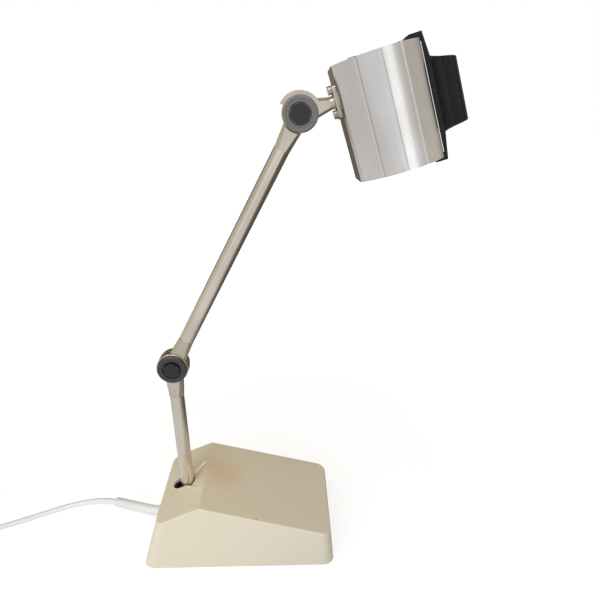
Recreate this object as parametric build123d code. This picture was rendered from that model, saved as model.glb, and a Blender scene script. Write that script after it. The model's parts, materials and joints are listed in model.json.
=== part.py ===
from build123d import *
import math
import os

os.makedirs("parts", exist_ok=True)

# A low-voltage desk lamp: a heavy wedge base, two tube arms with lap-jointed knuckles
# and a small extruded head on a swivelling neck. All sizes are in millimetres.
# Frame: the origin is the middle of the base's footprint, on the table. +X runs to the
# base's low end, +Y to the back and +Z up. The knuckles turn about Y.

# ---- shared sizes
FIT = 0.05               # radial clearance of pins, screws and bushes
RUN = 0.1                # gap between flat faces that slide on each other
FAR = 200.0              # longer than any piece, for cuts that go right through
TUBE_R = 6.0
TUBE_WALL = 1.0

# ---- base housing: a moulded wedge, high at the arm's end
BASE_LENGTH = 168.0
BASE_DEPTH = 97.0
HIGH_END_X = -BASE_LENGTH / 2
LOW_END_X = BASE_LENGTH / 2
SHOULDER_Z = 46.2        # top of the high end's face
SHOULDER_SETBACK = 13.3  # how far that face leans in over its height
RIDGE_X = HIGH_END_X + 52.2
RIDGE_Z = 63.6
LOW_END_Z = 32.4
LOW_END_SETBACK = 2.9
SIDE_DRAFT = 2.7         # degrees, front and back faces
HOUSING_WALL = 3.0
CORNER_R = 9.0
EDGE_R = 1.8
RIM_LIFT = 1.0           # the rim stands this far above the table
BOSS_R = 4.0
BOSS_X = (HIGH_END_X + 16.0, LOW_END_X - 12.0)
BOSS_Y = BASE_DEPTH / 2 - 12.5

# ---- arm pivot inside the base
PIVOT_X = HIGH_END_X + 35.3
PIVOT_Z = 22.0
PIVOT_BOLT_R = 3.0
PIVOT_HEX_AF = 10.0
PIVOT_HEAD_T = 4.0
PIVOT_NUT_T = 5.0
PIVOT_WASHER_R = 8.0
PIVOT_WASHER_T = 1.0
BRACKET_T = 2.5
BRACKET_HALF_X = 13.0
BRACKET_FOOT_Y = TUBE_R + 14.0
BRACKET_EAR_R = 9.0
RIVET_R = 1.6
RIVET_HEAD_T = 1.5
RIVET_INSET = (4.0, 4.5)
BUSH_BORE_R = 4.0        # the lamp lead rises through the bush's lower half

# ---- slot for the arm, and the recess between the slot and the ridge
SLOT_LENGTH = 20.0
SLOT_WIDTH = 2 * TUBE_R + 3.0
SLOT_LOW_END_X = PIVOT_X + TUBE_R + 0.4
RECESS_DEPTH = 4.0
RECESS_HALF_WIDTH = 20.0
RECESS_LOW_HALF_WIDTH = 3.0
RECESS_LOW_INSET = 5.0   # the recess starts this far inside the slot's low end
RECESS_WALL_TAPER = 35.0  # degrees

# ---- bottom plate, pad and their screws
PAD_T = 1.5
PLATE_T = 1.5
PAD_INSET = 1.0
PLATE_GAP = 0.3
PLATE_SCREW_R = 1.75
PLATE_SCREW_HEAD_R = 3.2
PLATE_SCREW_HEAD_T = 1.2
PLATE_SCREW_LENGTH = 14.0

# ---- transformer and terminal block
CORE_X = 6.0
WIRE_R = 1.1
WIRE_GAP = 0.4
LEAD_R = 1.6
CORE_SIZE = (54.0, 45.0, 20.0)
CORE_LIFT = 9.5
WINDOW = (9.0, 27.0)
COIL_CLEAR = 0.3
COIL_BULGE = 8.5
CORE_BOLT_R = 1.75
CORE_BOLT_INSET = 4.0
TERMINAL_AT = (52.0, -26.0)
TERMINAL_SIZE = (30.0, 16.0, 13.0)
TERMINAL_WAYS = 3
TERMINAL_SCREW_R = 2.5
TERMINAL_SCREW_T = 4.0
TERMINAL_WIRE_R = 1.6

# ---- rocker switch in the low end's face
SWITCH_Z = 16.0
SWITCH_FLANGE = (20.8, 14.8, 1.2)   # along the face, up the face, thickness
SWITCH_BODY = (18.8, 12.6, 14.0)
SWITCH_WALL = 1.4
SWITCH_POCKET_WALL = 1.5
SWITCH_POCKET_DEPTH = 7.5
SWITCH_TAB = (7.0, 4.8, 0.8)        # length, width, thickness
SWITCH_TAB_Y = 5.5
ROCKER_TILT = 7.0
ROCKER_GAP = 0.3
ROCKER_PIVOT_DEPTH = 3.6
ROCKER_PIN_R = 1.0

# ---- arms
LOWER_LEAN = 0.98        # degrees to the high end, from upright
LOWER_LENGTH = 154.0     # base pivot to lower knuckle
UPPER_ANGLE = 62.0       # degrees above level
UPPER_LENGTH = 226.5     # knuckle to knuckle
TUBE_BELOW_PIVOT = 8.0
SPIGOT_LENGTH = 14.0

# ---- knuckles: two half-thickness eyes, a friction disc, a bolt and two covers
EYE_R = 13.0
EYE_OUTER_Y = 5.2        # outer face of each eye, from the arm's middle plane
FRICTION_T = 1.0
SHOULDER_GAP = 0.5
STEM_START = 8.0
STEM_END = 28.0
STEM_WIDTH = 14.6
STEM_CHAMFER = 3.0
BOLT_R = 4.0
BOLT_HEAD_AF = 12.6
BOLT_CORNER_R = 7.05
BOLT_HEAD_T = 3.2
NUT_T = 3.0
COVER_R = EYE_R - 0.6
FRONT_COVER_T = 3.0
REAR_COVER_T = 4.4
COVER_BORE_R = 8.0
COVER_FLOOR_T = 0.8      # left under the bolt's head

# ---- neck
NECK_ANGLE = 16.85       # degrees above level
NECK_STEM_END = 21.9
NECK_END_WIDTH = 8.6
NECK_NOSE_R = 4.4
HOOD_R = EYE_R + 2.3
HOOD_GAP = 0.4
HOOD_ANGLES = (10.0, 138.0)
SPINDLE_R = 2.5

# ---- head: an extruded aluminium shell hung from its flat back
HEAD_SWIVEL = 4.3        # degrees about the neck, lower end to the front
BACK_U = 27.0            # knuckle axis to the shell's back face
SHELL_LENGTH = 60.0      # back face to front face
SHELL_R = 35.0           # round sides
SHELL_CORNER_R = 10.0
SHELL_WALL = 1.8
SHELL_TOP = 21.3         # above the neck's axis
SHELL_BOTTOM = -56.1
GROOVE_ANGLE = 25.0      # small grooves, each side of the wide channel
GROOVE_SIZE = 1.3
CHANNEL_WIDTH = 3.4
CHANNEL_DEPTH = 1.3
CHANNEL_RIB = 1.6
CLIP_GAP = 0.1
CLIP_LENGTHS = (8.9, 4.0)  # at the top and at the bottom
PORT_R = 3.2
PORT_BORE_R = 1.4
PORT_ANGLE = 57.9         # from the head's front-to-back line
PORT_WALL_OVERLAP = 0.1
PORT_TOP = 16.0
PORT_BOTTOM = -44.0
BRACKET_PLATE_T = 1.8
BRACKET_PLATE_HALF_Y = 9.0
BRACKET_PLATE_Z = (-12.0, 11.0)
BRACKET_SCREW_Z = 8.2
BRACKET_SCREW_R = 1.9
BRACKET_SCREW_HEAD = (3.0, 2.8)      # radius, height
BRACKET_SCREW_SLOT = (1.0, 0.8)      # width, depth
BRACKET_NUT = (3.5, 2.8)             # radius over corners, height
SWIVEL_WASHER = (4.4, 1.0)
SPINDLE_HEAD = (4.2, 3.5)
CAP_T = 3.0
HOLDER_PLATE_T = 1.5
CAP_GAP = 0.3
VENT_COUNT = 7
VENT_PITCH = 6.0
VENT_WIDTH = 3.0
VENT_HALF_LENGTH = 17.0
BEZEL_T = 3.0
BEZEL_BORE_R = 23.5
HEAD_SCREW_R = 1.35
HEAD_SCREW_HEAD_R = 2.6
HEAD_SCREW_HEAD_T = 1.5
HEAD_SCREW_LENGTH = 9.0
GLASS_GAP = 0.9          # between the glass and the ports
GLASS_R = SHELL_R - SHELL_WALL - 2 * PORT_R + PORT_WALL_OVERLAP - GLASS_GAP
GLASS_T = 2.0

# ---- reflector lamp and its holder
LAMP_RIM_R = 25.2
LAMP_DEPTH = 26.0
LAMP_GLASS_T = 1.4
LAMP_NECK_R = 8.0
LAMP_NECK_LENGTH = 12.0
CAPSULE_R = 4.0
LAMP_PIN_R = 0.5
LAMP_PIN_PITCH = 5.3
LAMP_PIN_LENGTH = 7.0
HOLDER_R = 9.5
HOLDER_CHAMFER = 0.8

# ---- heat strip and grip on the head's front
STRIP_T = 1.5
STRIP_HALF_Y = 12.0
STRIP_Z = (-53.5, 19.5)
GRIP_HALF_Y = 12.0
GRIP_PLATE_T = 3.8
GRIP_END_T = 1.8
GRIP_Z = (-59.2, 25.4)
GRIP_LIP_REACH = (4.6, 5.5)  # over the shell's bottom and top ends
BLOCK_REACH = 24.5            # from the shell's front face
BLOCK_ROOT_Z = (-40.6, 9.2)
BLOCK_FACE_Z = (-37.3, 4.2)
BLOCK_CORNER_R = 2.5
WAIST_HALF_Y = 8.0
WAIST_REACH = 13.0
BEAD_HALF_Y = 10.0
GRIP_CAVITY = (4.5, 15.0)     # half width, depth from the plate's back
GRIP_CAVITY_END = 8.0         # solid left at the block's two ends, for the screws
GRIP_SCREW_Z = (-36.6, 5.2)
GRIP_SCREW_DEPTH = 8.0
GRIP_SCREW_R = 1.5
GRIP_SCREW_HEAD = (2.8, 1.6)

# ---- mains cord
CORD_R = 2.5
SLEEVE_R = (4.7, 4.3)
SLEEVE_FLANGE_R = 6.5
SLEEVE_FLANGE_T = 2.0
SLEEVE_BEND_R = 40.0
CORD_EXIT = (HIGH_END_X + 12.0, 7.2, 12.6)  # inner end of the sleeve
SLEEVE_BEND = (HIGH_END_X - 0.5, 7.2, 12.6)
SLEEVE_END = (HIGH_END_X - 42.0, 22.0, 11.0)
CORD_ROUTE = [SLEEVE_END] + [(HIGH_END_X - away, y, z) for away, y, z in (
    (57.0, 27.0, 8.6),
    (73.0, 29.3, 4.7),
    (89.5, 27.2, 2.7),
    (106.5, 20.0, CORD_R),
    (125.0, 10.5, CORD_R),
    (145.0, 1.5, CORD_R),
    (165.0, -5.5, CORD_R),
    (185.0, -10.0, CORD_R),
)]
COIL_CENTRE = (HIGH_END_X - 208.0, 16.0)
COIL_MID_R = 27.5
COIL_TURNS_ACROSS = 3
COIL_LAYERS = 3
CORD_TAIL = [(HIGH_END_X - away, y, z) for away, y, z in (
    (240.5, 19.0, CORD_R),
    (241.0, 33.0, 3.0),
    (240.0, 47.0, 5.5),
    (239.4, 60.0, 6.8),
)]
PLUG_SIZE = (35.3, 34.0, 13.6)  # across the pins, along them, thickness
PLUG_BOOT_LENGTH = 9.0
PLUG_BOOT_R = 4.4
PLUG_CORNER_R = 4.0
PLUG_PIN_R = 2.0
PLUG_PIN_LENGTH = 19.0
PLUG_PIN_PITCH = 18.6


def box(x0, x1, y0, y1, z0, z1):
    """A box between two corners."""
    middle = Pos((x0 + x1) / 2, (y0 + y1) / 2, (z0 + z1) / 2)
    return middle * Box(x1 - x0, y1 - y0, z1 - z0)


def rod_x(r, x0, x1):
    return Pos((x0 + x1) / 2, 0, 0) * Rot(0, 90, 0) * Cylinder(r, x1 - x0)


def rod_y(r, y0, y1):
    return Pos(0, (y0 + y1) / 2, 0) * Rot(90, 0, 0) * Cylinder(r, y1 - y0)


def rod_z(r, z0, z1):
    return Pos(0, 0, (z0 + z1) / 2) * Cylinder(r, z1 - z0)


def hex_y(across_flats, y0, y1):
    """A hexagonal prism along Y."""
    outline = Plane.XZ * RegularPolygon(across_flats / 2, 6, major_radius=False)
    return Pos(0, y1, 0) * extrude(outline, y1 - y0)


def keep(name, shape):
    """Writes one node's STEP file."""
    solids = shape.solids()
    whole = solids[0] if len(solids) == 1 else Compound(solids)
    whole.label = name
    export_step(whole, f"parts/{name}.step")


def octagon(plane, width, thickness, chamfer):
    """A rectangle with cut corners, as a face on the given plane."""
    w, t, c = width / 2, thickness / 2, chamfer
    corners = [(t, w - c), (t - c, w), (c - t, w), (-t, w - c)]
    outline = corners + [(-x, -y) for x, y in corners]
    return plane * Polygon(*outline, align=None)


def stem(length, end_width, end_thickness, end_chamfer):
    """The tapered, faceted neck between an eye and what it carries, along +X."""
    root = octagon(Plane.YZ.offset(STEM_START), STEM_WIDTH, 2 * EYE_OUTER_Y, 2.0)
    tip = octagon(Plane.YZ.offset(length), end_width, end_thickness, end_chamfer)
    return loft([root, tip], ruled=True)


def eye(side):
    """Half of a lap joint about Y: side is -1 for the front eye and +1 for the rear."""
    inner = FRICTION_T / 2 + (RUN if side < 0 else 0.0)
    y0, y1 = sorted((side * inner, side * EYE_OUTER_Y))
    disc = rod_y(EYE_R, y0, y1)
    edge = disc.edges().filter_by(GeomType.CIRCLE).sort_by(Axis.Y)[0 if side < 0 else -1]
    return chamfer(edge, 0.5)


def other_eye_room(side):
    """The space that the facing eye, friction disc included, needs to turn in."""
    inner = FRICTION_T / 2 + (RUN if side < 0 else 0.0)
    y0, y1 = sorted((side * inner, -side * FAR))
    return rod_y(EYE_R + SHOULDER_GAP, y0, y1)


def tube_end(side):
    """A cast knuckle half with its stem and the spigot that plugs into a tube."""
    body = stem(STEM_END, 2 * TUBE_R - 0.4, 2 * TUBE_R - 0.4, STEM_CHAMFER)
    body -= other_eye_room(side)
    body += eye(side)
    body += rod_x(TUBE_R - TUBE_WALL - FIT, STEM_END - 1, STEM_END + SPIGOT_LENGTH)
    seat_y = sorted((side * EYE_OUTER_Y, side * FAR))
    body -= rod_y(COVER_R + RUN, *seat_y)
    return body - rod_y(BOLT_R + FIT, -FAR, FAR)


def arm_tube(x0, x1):
    return rod_x(TUBE_R, x0, x1) - rod_x(TUBE_R - TUBE_WALL, x0, x1)


def front_cover():
    """The dished plastic ring in front of a knuckle, round the bolt's head."""
    face = -EYE_OUTER_Y - FRONT_COVER_T
    floor = -EYE_OUTER_Y - COVER_FLOOR_T
    ring = rod_y(COVER_R, face, -EYE_OUTER_Y)
    ring = chamfer(ring.edges().filter_by(GeomType.CIRCLE).sort_by(Axis.Y)[0], 0.9)
    ring -= rod_y(COVER_R - 2.2, face, face + 0.6)
    ring += rod_y(COVER_BORE_R + 1.0, face + 0.2, -EYE_OUTER_Y)
    ring -= rod_y(COVER_BORE_R, -FAR, floor)
    return ring - rod_y(BOLT_R + FIT, -FAR, 0)


def rear_cover():
    """The closed plastic cup behind a knuckle, over the nut."""
    face = EYE_OUTER_Y + REAR_COVER_T
    cup = rod_y(COVER_R, EYE_OUTER_Y, face)
    cup = chamfer(cup.edges().filter_by(GeomType.CIRCLE).sort_by(Axis.Y)[-1], 1.2)
    return cup - rod_y(COVER_BORE_R, 0, face - 0.8)


def knuckle_bolt():
    """A bolt whose head, its corners turned off, sits on the front cover's floor."""
    seat = -EYE_OUTER_Y - COVER_FLOOR_T
    head = hex_y(BOLT_HEAD_AF, seat - BOLT_HEAD_T, seat)
    head &= rod_y(BOLT_CORNER_R, seat - BOLT_HEAD_T, seat)
    return head + rod_y(BOLT_R, seat - 1, EYE_OUTER_Y + RUN + NUT_T)


def knuckle_nut():
    y0 = EYE_OUTER_Y + RUN
    return hex_y(BOLT_HEAD_AF, y0, y0 + NUT_T) - rod_y(BOLT_R + FIT, -FAR, FAR)


def friction_disc():
    disc = rod_y(EYE_R - 1, -FRICTION_T / 2, FRICTION_T / 2)
    return disc - rod_y(BOLT_R + FIT, -FAR, FAR)


def bend_radii(points):
    """The largest arcs that the runs of a route allow, one for each inner point."""
    radii = []
    for before, corner, after in zip(points, points[1:], points[2:]):
        run_in = Vector(*corner) - Vector(*before)
        run_out = Vector(*after) - Vector(*corner)
        half_turn = math.radians(run_in.get_angle(run_out)) / 2
        radii.append(0.45 * min(run_in.length, run_out.length) / math.tan(half_turn))
    return radii


def round_tube(radius, points):
    """A solid round wire along straight runs joined by arcs."""
    path = FilletPolyline(*points, radius=bend_radii(points))
    return sweep(Plane(origin=path @ 0, z_dir=path % 0) * Circle(radius), path=path)


def cord_tube(points):
    """A stretch of the mains cord, with its length and least bend printed."""
    radii = bend_radii(points)
    path = FilletPolyline(*points, radius=radii)
    tube = round_tube(CORD_R, points)
    share = tube.volume / (math.pi * CORD_R**2 * path.length)
    print("cord: length %.1f, least radius %.1f, volume share %.4f"
          % (path.length, min(radii), share))
    return tube


# ---------------------------------------------------------------- where things are
pivot_point = Vector(PIVOT_X, 0, PIVOT_Z)
lean = math.radians(LOWER_LEAN)
lower_knuckle = pivot_point + Vector(-math.sin(lean), 0, math.cos(lean)) * LOWER_LENGTH
rise = math.radians(UPPER_ANGLE)
upper_knuckle = lower_knuckle + Vector(math.cos(rise), 0, math.sin(rise)) * UPPER_LENGTH

# Each frame's own X runs along the piece and Y stays the knuckles' axis.
arm_up = Pos(*pivot_point) * Rot(0, -(90 + LOWER_LEAN), 0)
lower_eye_frame = Pos(*lower_knuckle) * Rot(0, 90 - LOWER_LEAN, 0)
arm_along = Pos(*lower_knuckle) * Rot(0, -UPPER_ANGLE, 0)
upper_eye_frame = Pos(*upper_knuckle) * Rot(0, 180 - UPPER_ANGLE, 0)
neck_frame = Pos(*upper_knuckle) * Rot(0, -NECK_ANGLE, 0)
head_frame = neck_frame * Rot(-HEAD_SWIVEL, 0, 0)


# ---------------------------------------------------------------- base
def base_form(inset):
    """The wedge between its four sides and two roofs, each moved in by inset. It runs
    on below the table, so that the housing is open underneath."""
    below = 30.0
    half = BASE_LENGTH / 2
    high_lean = SHOULDER_SETBACK / SHOULDER_Z
    low_lean = LOW_END_SETBACK / LOW_END_Z
    side = Polygon(
        (-half - below * high_lean, -below),
        (half + below * low_lean, -below),
        (half - LOW_END_SETBACK, LOW_END_Z),
        (RIDGE_X, RIDGE_Z),
        (-half + SHOULDER_SETBACK, SHOULDER_Z),
        align=None,
    )
    draft = math.tan(math.radians(SIDE_DRAFT))
    top = RIDGE_Z + 20
    end = Polygon(
        (-BASE_DEPTH / 2 - below * draft, -below),
        (BASE_DEPTH / 2 + below * draft, -below),
        (BASE_DEPTH / 2 - top * draft, top),
        (-BASE_DEPTH / 2 + top * draft, top),
        align=None,
    )
    if inset:
        side = offset(side, -inset, kind=Kind.INTERSECTION)
        end = offset(end, -inset, kind=Kind.INTERSECTION)
    along = extrude(Plane.XZ * side, FAR, both=True)
    across = extrude(Plane.YZ * end, FAR, both=True)
    form = (along & across) & box(-FAR, FAR, -FAR, FAR, RIM_LIFT if not inset else -9, FAR)
    upright = [e for e in form.edges() if abs((e.tangent_at(0.5)).Z) > 0.9]
    return fillet(upright, CORNER_R - inset)


def roof_z(x):
    """Height of the wedge's roof above a point of the base's middle line."""
    if x < RIDGE_X:
        foot = HIGH_END_X + SHOULDER_SETBACK
        share = (x - foot) / (RIDGE_X - foot)
        return SHOULDER_Z + share * (RIDGE_Z - SHOULDER_Z)
    share = (x - RIDGE_X) / (LOW_END_X - LOW_END_SETBACK - RIDGE_X)
    return RIDGE_Z + share * (LOW_END_Z - RIDGE_Z)


def recess_floor(grow):
    """The floor of the recess beside the slot, a slanting trapezium that rises to the
    ridge and widens as it rises."""
    low_x = SLOT_LOW_END_X - RECESS_LOW_INSET
    low = Vector(low_x, 0, roof_z(low_x) - RECESS_DEPTH)
    rise_line = Vector(RIDGE_X, 0, RIDGE_Z) - low
    floor = Plane(origin=low, x_dir=rise_line, z_dir=rise_line.cross(Vector(0, 1, 0)))
    length = rise_line.length
    return floor * Polygon(
        (-grow - 1, -RECESS_LOW_HALF_WIDTH - grow),
        (length + 0.5 + grow, -RECESS_HALF_WIDTH - grow),
        (length + 0.5 + grow, RECESS_HALF_WIDTH + grow),
        (-grow - 1, RECESS_LOW_HALF_WIDTH + grow),
        align=None,
    )


def plate_screw_places():
    return [(x, y) for x in BOSS_X for y in (-BOSS_Y, BOSS_Y)]


def make_switch_frame():
    """On the low end's outer face, X outwards and Z up the face."""
    lean_out = math.degrees(math.atan(LOW_END_SETBACK / LOW_END_Z))
    x = LOW_END_X - SWITCH_Z * LOW_END_SETBACK / LOW_END_Z
    return Pos(x, 0, SWITCH_Z) * Rot(0, -lean_out, 0)


def make_sleeve_path():
    return FilletPolyline(CORD_EXIT, SLEEVE_BEND, SLEEVE_END, radius=SLEEVE_BEND_R)


def make_housing():
    outer = base_form(0)
    top_edges = [
        e for e in outer.edges()
        if e.center().Z > RIM_LIFT + 5 and abs(e.tangent_at(0.5).Z) < 0.9
    ]
    outer = fillet(top_edges, EDGE_R)
    housing = outer - base_form(HOUSING_WALL)
    thick = extrude(recess_floor(HOUSING_WALL), -HOUSING_WALL)
    housing += thick & outer
    housing -= extrude(recess_floor(0), 15, taper=-RECESS_WALL_TAPER)
    slot_x = SLOT_LOW_END_X - SLOT_LENGTH / 2
    slot = extrude(SlotOverall(SLOT_LENGTH, SLOT_WIDTH), FAR)
    housing -= Pos(slot_x, 0, PIVOT_Z) * slot
    for x, y in plate_screw_places():
        column = Pos(x, y, 0) * rod_z(BOSS_R, PAD_T + PLATE_T, FAR)
        housing += column & outer
    for x, y in plate_screw_places():
        housing -= Pos(x, y, 0) * rod_z(PLATE_SCREW_R + FIT, 0, PAD_T + PLATE_SCREW_LENGTH + 1)
    y, z, t = SWITCH_FLANGE
    b, c, _ = SWITCH_BODY
    window = box(-SWITCH_WALL, 5, -y / 2 - FIT, y / 2 + FIT, -z / 2 - FIT, z / 2 + FIT)
    window += box(-10, 0, -b / 2 - FIT, b / 2 + FIT, -c / 2 - FIT, c / 2 + FIT)
    housing -= switch_frame * window
    hole = extrude(Plane.YZ * Circle(SLEEVE_R[0] + FIT), -20)
    return housing - Pos(*CORD_EXIT) * hole


def rivet_places():
    dx = BRACKET_HALF_X - RIVET_INSET[0]
    dy = BRACKET_FOOT_Y - RIVET_INSET[1]
    return [(PIVOT_X + sx * dx, sy * dy) for sx in (-1, 1) for sy in (-1, 1)]


def make_plate():
    inner = base_form(HOUSING_WALL + PLATE_GAP)
    plate = inner & box(-FAR, FAR, -FAR, FAR, PAD_T, PAD_T + PLATE_T)
    for x, y in plate_screw_places():
        plate -= Pos(x, y, 0) * rod_z(PLATE_SCREW_R + FIT, 0, 10)
    for x, y in core_bolt_places():
        plate -= Pos(x, y, 0) * rod_z(CORE_BOLT_R + FIT, 0, 10)
    for x, y in rivet_places():
        plate -= Pos(x, y, 0) * rod_z(RIVET_R + FIT, 0, 10)
    return plate


def make_pad():
    pad = base_form(HOUSING_WALL + PLATE_GAP + PAD_INSET) & box(-FAR, FAR, -FAR, FAR, 0, PAD_T)
    for x, y in plate_screw_places():
        pad -= Pos(x, y, 0) * rod_z(PLATE_SCREW_HEAD_R + 0.8, -1, PAD_T + 1)
    return pad


def make_plate_screws():
    top = PAD_T + PLATE_SCREW_LENGTH
    screw = rod_z(PLATE_SCREW_R, PAD_T - 0.5, top)
    screw += rod_z(PLATE_SCREW_HEAD_R, PAD_T - PLATE_SCREW_HEAD_T, PAD_T)
    cross = box(-2, 2, -0.4, 0.4, 0, PAD_T - PLATE_SCREW_HEAD_T + 0.7)
    screw -= cross + Rot(0, 0, 90) * cross
    return Compound([Pos(x, y, 0) * screw for x, y in plate_screw_places()])


def core_bolt_places():
    dx = CORE_SIZE[0] / 2 - CORE_BOLT_INSET
    dy = CORE_SIZE[1] / 2 - CORE_BOLT_INSET
    return [(CORE_X + sx * dx, sy * dy) for sx in (-1, 1) for sy in (-1, 1)]


def make_transformer():
    """A laminated core with two windows, its coil, four spacers and four bolts."""
    x, y, z = CORE_SIZE
    floor = PAD_T + PLATE_T
    z0, z1 = floor + CORE_LIFT, floor + CORE_LIFT + z
    leg = x / 3
    core = box(-x / 2, x / 2, -y / 2, y / 2, z0, z1)
    for side in (-1, 1):
        window_x = side * (leg / 2 + WINDOW[0] / 2)
        core -= Pos(window_x, 0, 0) * box(-WINDOW[0] / 2, WINDOW[0] / 2, -WINDOW[1] / 2,
                                          WINDOW[1] / 2, 0, FAR)
    core = Pos(CORE_X, 0, 0) * core
    reach_x = leg / 2 + WINDOW[0] - COIL_CLEAR
    reach_y = WINDOW[1] / 2 - COIL_CLEAR
    coil = box(-reach_x, reach_x, -reach_y, reach_y, z0 - COIL_BULGE, z1 + COIL_BULGE)
    coil = fillet(coil.edges().filter_by(Axis.Y), 4.0)
    coil = Pos(CORE_X, 0, 0) * (coil - box(-leg / 2, leg / 2, -FAR, FAR, z0, z1))
    spacers, bolts = [], []
    for px, py in core_bolt_places():
        core -= Pos(px, py, 0) * rod_z(CORE_BOLT_R + FIT, 0, FAR)
        tube = rod_z(CORE_BOLT_INSET, floor, z0) - rod_z(CORE_BOLT_R + FIT, 0, FAR)
        bolt = rod_z(CORE_BOLT_R, PAD_T + 0.1, z1 + 1)
        bolt += rod_z(2 * CORE_BOLT_R, z1, z1 + 2.5) - box(-5, 5, -0.5, 0.5, z1 + 1.5, FAR)
        spacers.append(Pos(px, py, 0) * tube)
        bolts.append(Pos(px, py, 0) * bolt)
    return core, coil, Compound(spacers), Compound(bolts)


def make_terminals():
    """A plastic terminal block on the plate and its brass screws."""
    x, y, z = TERMINAL_SIZE
    floor = PAD_T + PLATE_T
    block = box(-x / 2, x / 2, -y / 2, y / 2, floor, floor + z)
    block -= box(-x / 2, x / 2, -y / 2, -y / 4, floor + z * 0.6, FAR)
    block -= box(-x / 2, x / 2, y / 4, y / 2, floor + z * 0.6, FAR)
    screws = []
    pitch = x / TERMINAL_WAYS
    for way in range(TERMINAL_WAYS):
        at = Pos((way - (TERMINAL_WAYS - 1) / 2) * pitch, 0, 0)
        block -= at * rod_z(TERMINAL_SCREW_R, floor + z - TERMINAL_SCREW_T - 1, FAR)
        block -= at * Pos(0, 0, floor + z * 0.3) * rod_y(TERMINAL_WIRE_R, -FAR, FAR)
        foot = floor + z - TERMINAL_SCREW_T - 1
        screw = rod_z(TERMINAL_SCREW_R - FIT, foot, foot + TERMINAL_SCREW_T)
        screws.append(at * (screw - box(-5, 5, -0.4, 0.4, floor + z - 1.8, FAR)))
    place = Pos(*TERMINAL_AT, 0)
    return place * block, place * Compound(screws)


def make_switch():
    """The switch's body with its pocket and tabs, and the rocker in it."""
    fy, fz, ft = SWITCH_FLANGE
    by, bz, depth = SWITCH_BODY
    front = -RUN
    back = front - ft
    flange = box(back, front, -fy / 2, fy / 2, -fz / 2, fz / 2)
    body = flange + box(-depth, back, -by / 2, by / 2, -bz / 2, bz / 2)
    pocket_y = by / 2 - SWITCH_POCKET_WALL
    pocket_z = bz / 2 - SWITCH_POCKET_WALL
    body -= box(-SWITCH_POCKET_DEPTH, 5, -pocket_y, pocket_y, -pocket_z, pocket_z)
    pivot = Pos(-ROCKER_PIVOT_DEPTH, 0, 0)
    body -= pivot * rod_z(ROCKER_PIN_R + FIT, -bz / 2 + 0.6, bz / 2 - 0.6)
    long, wide, thick = SWITCH_TAB
    tab = box(-depth - long, -depth, -wide / 2, wide / 2, -thick / 2, thick / 2)
    tabs = [Pos(0, y, 0) * tab for y in (-SWITCH_TAB_Y, SWITCH_TAB_Y)]
    half_y = pocket_y - 2 * ROCKER_GAP
    half_z = pocket_z - ROCKER_GAP
    top = ROCKER_PIVOT_DEPTH - 1.2
    wave = Polygon((top, half_y), (top - 0.8, 0), (top, -half_y), (-1.4, -half_y + 1),
                   (-2.6, 0), (-1.4, half_y - 1), align=None)
    rocker = extrude(wave, half_z, both=True)
    rocker += rod_z(ROCKER_PIN_R, -bz / 2 + 0.9, bz / 2 - 0.9)
    rocker = pivot * Rot(0, 0, ROCKER_TILT) * rocker
    return switch_frame * body, switch_frame * Compound(tabs), switch_frame * rocker


def make_arm_bracket():
    """The U-shaped bracket that the lower arm tilts in, its pivot bolt and washers."""
    floor = PAD_T + PLATE_T
    ear_y = TUBE_R + RUN + PIVOT_WASHER_T + RUN
    half_x, t = BRACKET_HALF_X, BRACKET_T
    web = box(-half_x, half_x, -BRACKET_FOOT_Y, BRACKET_FOOT_Y, floor, floor + t)
    bracket = web
    for side in (-1, 1):
        y0, y1 = sorted((side * ear_y, side * (ear_y + t)))
        cheek = box(-half_x, half_x, y0, y1, floor, PIVOT_Z)
        bracket += cheek + Pos(0, 0, PIVOT_Z) * rod_y(BRACKET_EAR_R, y0, y1)
    bracket -= Pos(0, 0, PIVOT_Z) * rod_y(PIVOT_BOLT_R + FIT, -FAR, FAR)
    rivets = []
    for x, y in rivet_places():
        at = Pos(x - PIVOT_X, y, 0)
        bracket -= at * rod_z(RIVET_R + FIT, 0, PIVOT_Z / 2)
        rivet = rod_z(RIVET_R, PAD_T + RUN, floor + t + RIVET_HEAD_T)
        rivets.append(at * (rivet + rod_z(2 * RIVET_R, floor + t, floor + t + RIVET_HEAD_T)))
    outer = ear_y + t
    at = Pos(0, 0, PIVOT_Z)
    bolt = rod_y(PIVOT_BOLT_R, -outer - 1, outer + PIVOT_NUT_T + 1)
    bolt += hex_y(PIVOT_HEX_AF, -outer - PIVOT_HEAD_T, -outer)
    nut = hex_y(PIVOT_HEX_AF, outer, outer + PIVOT_NUT_T)
    nut -= rod_y(PIVOT_BOLT_R + FIT, -FAR, FAR)
    washers = []
    for side in (-1, 1):
        y0, y1 = sorted((side * (TUBE_R + RUN), side * (TUBE_R + RUN + PIVOT_WASHER_T)))
        washer = rod_y(PIVOT_WASHER_R, y0, y1) - rod_y(PIVOT_BOLT_R + FIT, -FAR, FAR)
        washers.append(at * washer)
    place = Pos(PIVOT_X, 0, 0)
    pieces = (bracket, Compound(rivets), at * bolt, at * nut, Compound(washers))
    return [place * piece for piece in pieces]


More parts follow.
